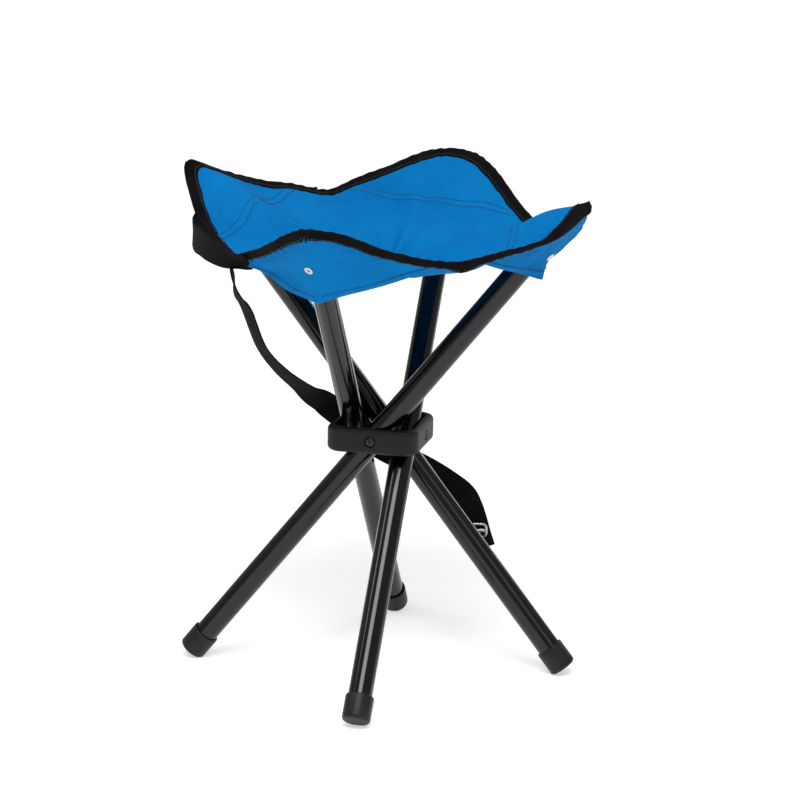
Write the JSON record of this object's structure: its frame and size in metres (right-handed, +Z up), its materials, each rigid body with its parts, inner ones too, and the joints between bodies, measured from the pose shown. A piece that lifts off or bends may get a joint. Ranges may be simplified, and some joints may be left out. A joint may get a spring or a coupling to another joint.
{
  "type": "camp stool",
  "caption": "Folding four-leg camp stool: crossed steel tubes pivot on a square hub under a sagging fabric seat with corner pockets and a carrying strap.",
  "frame": {"origin": "on the floor, at the hub's axis", "axes": "+Z up along the hub's axis; the right leg's top leans towards +X, the back leg's towards +Y, the left leg's towards -X and the front leg's towards -Y"},
  "size_m": [0.3918, 0.3918, 0.4705],
  "materials": {
    "tube": "gloss black powder coat",
    "hub": "fine-grained moulded nylon",
    "foot": "satin black moulded rubber",
    "screw": "black oxide",
    "steel": "nickel plated",
    "cloth": "plain woven coated polyester",
    "webbing": "ribbed woven polypropylene"
  },
  "bodies": {
    "hub": {"hub": "hub", "pivot_screw_right": "screw", "pivot_nut_right": "screw", "spacer_washer_right": "hub", "pivot_screw_back": "screw", "pivot_nut_back": "screw", "spacer_washer_back": "hub", "pivot_screw_left": "screw", "pivot_nut_left": "screw", "spacer_washer_left": "hub", "pivot_screw_front": "screw", "pivot_nut_front": "screw", "spacer_washer_front": "hub", "shoulder_strap_lower": "webbing", "strap_slider": "steel"},
    "leg_right": {"leg_tube_right": "tube", "foot_cap_right": "foot", "top_plug_right": "hub", "pocket_right": "cloth", "rivet_right": "steel", "ear_tip_right": "cloth"},
    "drape_right_back": {"seat_right_back": "cloth", "edge_tape_right_back": "webbing"},
    "drape_right_front": {"seat_right_front": "cloth", "edge_tape_right_front": "webbing"},
    "leg_back": {"leg_tube_back": "tube", "foot_cap_back": "foot", "top_plug_back": "hub", "pocket_back": "cloth", "rivet_back": "steel", "ear_tip_back": "cloth"},
    "drape_back_left": {"seat_back_left": "cloth", "edge_tape_back_left": "webbing"},
    "drape_back_right": {"seat_back_right": "cloth", "edge_tape_back_right": "webbing"},
    "leg_left": {"leg_tube_left": "tube", "foot_cap_left": "foot", "top_plug_left": "hub", "pocket_left": "cloth", "rivet_left": "steel", "ear_tip_left": "cloth", "handle_strap_front": "webbing", "handle_strap_back": "webbing"},
    "drape_left_front": {"seat_left_front": "cloth", "edge_tape_left_front": "webbing"},
    "drape_left_back": {"seat_left_back": "cloth", "edge_tape_left_back": "webbing"},
    "leg_front": {"leg_tube_front": "tube", "foot_cap_front": "foot", "top_plug_front": "hub", "pocket_front": "cloth", "rivet_front": "steel", "ear_tip_front": "cloth", "shoulder_strap_upper": "webbing"},
    "drape_front_right": {"seat_front_right": "cloth", "edge_tape_front_right": "webbing"},
    "drape_front_left": {"seat_front_left": "cloth", "edge_tape_front_left": "webbing"}
  },
  "joints": [
    {"name": "fold_right", "type": "hinge", "parent": "hub", "child": "leg_right", "pos_m": [0, -0.0245, 0.22956], "axis": [0, -1, 0], "range_deg": [0, 38.35], "deforming": ["ear_tip_right"]},
    {"name": "drape_right_back", "type": "hinge", "parent": "leg_right", "child": "drape_right_back", "pos_m": [0.179, -0.02325, 0.46003], "axis": [-0.7932, -0.0113, -0.6088], "range_deg": [0, 126.13], "deforming": ["seat_right_back", "edge_tape_right_back"]},
    {"name": "drape_right_front", "type": "hinge", "parent": "leg_right", "child": "drape_right_front", "pos_m": [0.179, -0.02325, 0.46003], "axis": [-0.7514, -0.3205, -0.5767], "range_deg": [0, 62.64], "deforming": ["seat_right_front", "edge_tape_right_front"]},
    {"name": "fold_back", "type": "hinge", "parent": "hub", "child": "leg_back", "pos_m": [0.0245, 0, 0.22956], "axis": [1, 0, 0], "range_deg": [0, 38.35], "deforming": ["ear_tip_back"]},
    {"name": "drape_back_left", "type": "hinge", "parent": "leg_back", "child": "drape_back_left", "pos_m": [0.02325, 0.179, 0.46003], "axis": [-0.0177, -0.7932, -0.6088], "range_deg": [0, 136.5], "deforming": ["seat_back_left", "edge_tape_back_left"]},
    {"name": "drape_back_right", "type": "hinge", "parent": "leg_back", "child": "drape_back_right", "pos_m": [0.02325, 0.179, 0.46003], "axis": [0.3196, -0.7517, -0.5769], "range_deg": [0, 62.73], "deforming": ["seat_back_right", "edge_tape_back_right"]},
    {"name": "fold_left", "type": "hinge", "parent": "hub", "child": "leg_left", "pos_m": [0, 0.0245, 0.22956], "axis": [0, 1, 0], "range_deg": [0, 38.35], "deforming": ["ear_tip_left", "handle_strap_front", "handle_strap_back"]},
    {"name": "drape_left_front", "type": "hinge", "parent": "leg_left", "child": "drape_left_front", "pos_m": [-0.179, 0.02325, 0.46003], "axis": [0.793, 0.027, -0.6086], "range_deg": [0, 120.91], "deforming": ["seat_left_front", "edge_tape_left_front"]},
    {"name": "drape_left_back", "type": "hinge", "parent": "leg_left", "child": "drape_left_back", "pos_m": [-0.179, 0.02325, 0.46003], "axis": [0.7217, 0.4152, -0.5539], "range_deg": [0, 53.56], "deforming": ["seat_left_back", "edge_tape_left_back"]},
    {"name": "fold_front", "type": "hinge", "parent": "hub", "child": "leg_front", "pos_m": [-0.0245, 0, 0.22956], "axis": [-1, 0, 0], "range_deg": [0, 38.35], "deforming": ["ear_tip_front", "shoulder_strap_upper", "shoulder_strap_lower"]},
    {"name": "drape_front_right", "type": "hinge", "parent": "leg_front", "child": "drape_front_right", "pos_m": [-0.02325, -0.179, 0.46003], "axis": [-0.011, 0.7932, -0.6088], "range_deg": [0, 126.23], "deforming": ["seat_front_right", "edge_tape_front_right"]},
    {"name": "drape_front_left", "type": "hinge", "parent": "leg_front", "child": "drape_front_left", "pos_m": [-0.02325, -0.179, 0.46003], "axis": [-0.2794, 0.7617, -0.5846], "range_deg": [0, 67.54], "deforming": ["seat_front_left", "edge_tape_front_left"]}
  ],
  "couplings": [
    {"joint": "drape_right_back", "follows": "fold_right", "ratio": 3.2884},
    {"joint": "drape_right_front", "follows": "fold_right", "ratio": 1.6328},
    {"joint": "fold_back", "follows": "fold_right", "ratio": 1},
    {"joint": "drape_back_left", "follows": "fold_right", "ratio": 3.5588},
    {"joint": "drape_back_right", "follows": "fold_right", "ratio": 1.6353},
    {"joint": "fold_left", "follows": "fold_right", "ratio": 1},
    {"joint": "drape_left_front", "follows": "fold_right", "ratio": 3.1522},
    {"joint": "drape_left_back", "follows": "fold_right", "ratio": 1.3961},
    {"joint": "fold_front", "follows": "fold_right", "ratio": 1},
    {"joint": "drape_front_right", "follows": "fold_right", "ratio": 3.2911},
    {"joint": "drape_front_left", "follows": "fold_right", "ratio": 1.7606}
  ]
}
